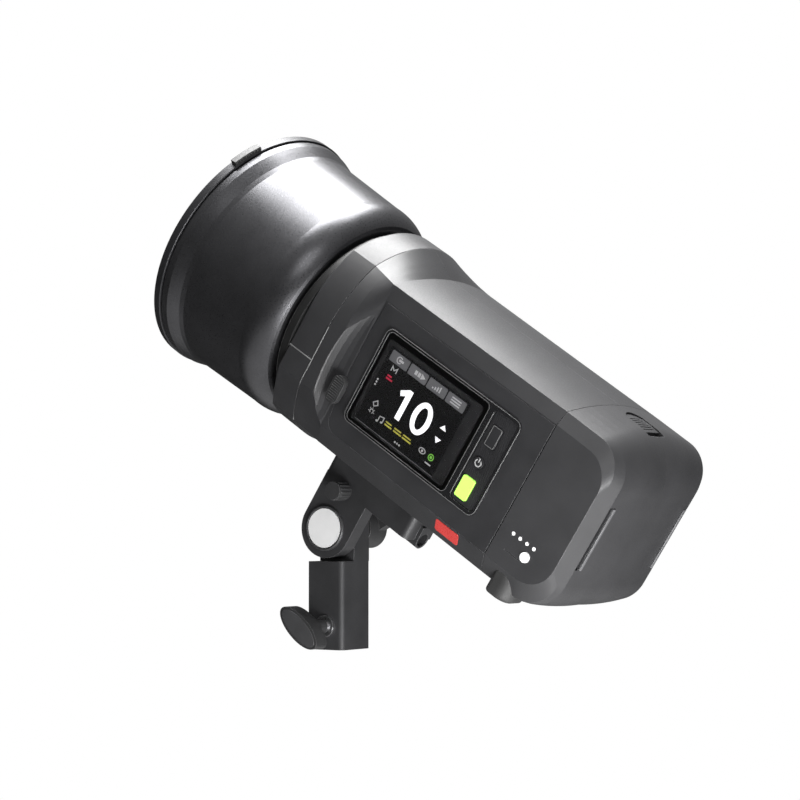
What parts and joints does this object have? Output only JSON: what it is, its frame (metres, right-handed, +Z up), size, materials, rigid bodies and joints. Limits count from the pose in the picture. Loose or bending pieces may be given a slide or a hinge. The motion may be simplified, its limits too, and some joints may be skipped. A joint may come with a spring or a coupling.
{
  "type": "monolight strobe",
  "caption": "Battery monolight flash head with round reflector, side touch screen and keys, slide-off battery and a tilting stand bracket with an umbrella holder.",
  "frame": {"origin": "centre of the stand socket's mouth", "axes": "+Z up along the stand socket's bore, tilt axis along Y, screen side towards -Y, reflector towards -X; rest pose is the head tilted nose up by 33.4 degrees"},
  "size_m": [0.3069, 0.1466, 0.2882],
  "materials": {
    "shell_black": "fine-grained black moulded plastic",
    "panel_black": "smooth black panel",
    "battery_black": "fine-grained dark grey moulded plastic",
    "trim_black": "satin black bezel",
    "window_glass": "clear cover over the screen",
    "screen": "black display module",
    "key_green": "bright green lit key",
    "key_black": "black key",
    "window_red": "translucent red sensor window",
    "lug_black": "ribbed black rubber",
    "bowl_metal": "black anodised outside, satin silver inside",
    "rim_metal": "black anodised ring",
    "ring_metal": "black finished steel ring",
    "ceramic": "white ceramic",
    "plate_metal": "satin plate",
    "quartz": "clear quartz",
    "dome_glass": "frosted glass",
    "phosphor": "yellow lamp chip",
    "board_green": "circuit board",
    "can_metal": "sleeved capacitor can",
    "copper_coil": "wound coil",
    "fan_black": "black fan plastic",
    "cast_black": "black powder-coated casting",
    "steel": "zinc-plated steel",
    "screw_black": "black oxide screw",
    "cap_grey": "light grey cap",
    "knob_black": "black moulded knob",
    "friction": "friction disc",
    "rubber_black": "black rubber",
    "cell_wrap": "sleeved cell",
    "contact": "gold-plated contact",
    "light_white": "white light pipe"
  },
  "bodies": {
    "stand": {"stand_socket": "cast_black", "socket_insert": "steel", "tilt_washer": "friction"},
    "lock_screw": {"lock_screw": "steel"},
    "lock_knob": {"lock_knob": "knob_black"},
    "tilt_lever": {"tilt_lever": "knob_black"},
    "head": {"head_bracket": "cast_black", "bracket_screws": "screw_black", "tilt_cap": "cap_grey", "tilt_bolt": "steel", "shell_left": "shell_black", "shell_right": "shell_black", "side_panel_left": "panel_black", "side_panel_right": "panel_black", "panel_screws": "screw_black", "collar_upper": "shell_black", "collar_lower": "shell_black", "mount_ring": "ring_metal", "lamp_plate": "plate_metal", "tube_socket": "ceramic", "dome_holder": "ring_metal", "flash_tube": "quartz", "glass_dome": "dome_glass", "led_board": "board_green", "led_chip": "phosphor", "display_bezel": "trim_black", "display_glass": "window_glass", "lcd_module": "screen", "key_plate": "key_black", "sensor_window": "window_red", "main_board": "board_green", "power_board": "board_green", "transformers": "copper_coil", "capacitors": "can_metal", "chassis": "plate_metal", "fan_frame": "fan_black", "battery_dock": "fan_black", "sync_jack": "fan_black", "usb_socket": "steel"},
    "umbrella_screw": {"umbrella_screw": "steel"},
    "umbrella_knob": {"umbrella_knob": "knob_black"},
    "release_slider": {"release_slider": "knob_black"},
    "green_key": {"green_key": "key_green"},
    "square_key": {"square_key": "key_black"},
    "power_button": {"power_button": "key_black"},
    "fan_rotor": {"fan_rotor": "fan_black"},
    "port_door": {"port_door": "rubber_black"},
    "reflector": {"reflector_bowl": "bowl_metal"},
    "rim_ring": {"rim_ring": "rim_metal", "rim_ring_tab": "lug_black"},
    "battery": {"battery_case": "battery_black", "battery_lid": "fan_black", "battery_cells": "cell_wrap", "battery_board": "board_green", "battery_contacts": "contact", "battery_feet": "rubber_black", "gauge_lights": "light_white"},
    "gauge_button": {"gauge_button": "light_white"},
    "battery_latch": {"battery_latch": "battery_black"}
  },
  "joints": [
    {"name": "head_tilt", "type": "hinge", "parent": "stand", "child": "head", "pos_m": [0, 0, 0.067], "axis": [0, 1, 0], "range_deg": [-90, 56]},
    {"name": "tilt_lever_turn", "type": "hinge", "parent": "stand", "child": "tilt_lever", "pos_m": [0, 0.018, 0.067], "axis": [0, 1, 0], "range_deg": [-60, 60]},
    {"name": "lock_screw_feed", "type": "slide", "parent": "stand", "child": "lock_screw", "axis": [0, 1, 0], "range_m": [-0.002, 0.001]},
    {"name": "lock_knob_turn", "type": "hinge", "parent": "lock_screw", "child": "lock_knob", "pos_m": [0, -0.026, 0.013], "axis": [0, 1, 0], "range_deg": [-720, 360]},
    {"name": "umbrella_screw_feed", "type": "slide", "parent": "head", "child": "umbrella_screw", "axis": [0, 1, 0], "range_m": [-0.002, 0.0005]},
    {"name": "umbrella_knob_turn", "type": "hinge", "parent": "umbrella_screw", "child": "umbrella_knob", "pos_m": [0.01438, -0.022, 0.08735], "axis": [0, 1, 0], "range_deg": [-900, 225]},
    {"name": "release_slide", "type": "slide", "parent": "head", "child": "release_slider", "axis": [-0.8348, 0, 0.5505], "range_m": [0, 0.004], "stiffness_N_per_m": 500},
    {"name": "green_key_press", "type": "slide", "parent": "head", "child": "green_key", "axis": [0, 1, 0], "range_m": [0, 0.0005], "stiffness_N_per_m": 1500},
    {"name": "square_key_press", "type": "slide", "parent": "head", "child": "square_key", "axis": [0, 1, 0], "range_m": [0, 0.0005], "stiffness_N_per_m": 1500},
    {"name": "power_button_press", "type": "slide", "parent": "head", "child": "power_button", "axis": [0, 1, 0], "range_m": [0, 0.0005], "stiffness_N_per_m": 1500},
    {"name": "fan_spin", "type": "hinge", "parent": "head", "child": "fan_rotor", "pos_m": [0.10653, 0.039, 0.11594], "axis": [0, 1, 0], "continuous": true},
    {"name": "port_door_swing", "type": "hinge", "parent": "head", "child": "port_door", "pos_m": [0.04744, 0.0515, 0.11897], "axis": [-0.8348, 0, 0.5505], "range_deg": [0, 100]},
    {"name": "reflector_twist", "type": "hinge", "parent": "head", "child": "reflector", "pos_m": [0.01303, 0, 0.17759], "axis": [0.8348, 0, -0.5505], "range_deg": [0, 15]},
    {"name": "rim_ring_twist", "type": "hinge", "parent": "reflector", "child": "rim_ring", "pos_m": [-0.0596, 0, 0.22548], "axis": [0.8348, 0, -0.5505], "range_deg": [0, 12]},
    {"name": "battery_slide", "type": "slide", "parent": "head", "child": "battery", "axis": [0.8348, 0, -0.5505], "range_m": [0, 0.06]},
    {"name": "gauge_button_press", "type": "slide", "parent": "battery", "child": "gauge_button", "axis": [0, 1, 0], "range_m": [0, 0.0005], "stiffness_N_per_m": 1500},
    {"name": "battery_latch_slide", "type": "slide", "parent": "battery", "child": "battery_latch", "axis": [0.8348, 0, -0.5505], "range_m": [0, 0.003], "stiffness_N_per_m": 600}
  ],
  "couplings": [
    {"joint": "lock_knob_turn", "follows": "lock_screw_feed", "rad_per_m": 6283.2},
    {"joint": "umbrella_knob_turn", "follows": "umbrella_screw_feed", "rad_per_m": 7854}
  ]
}
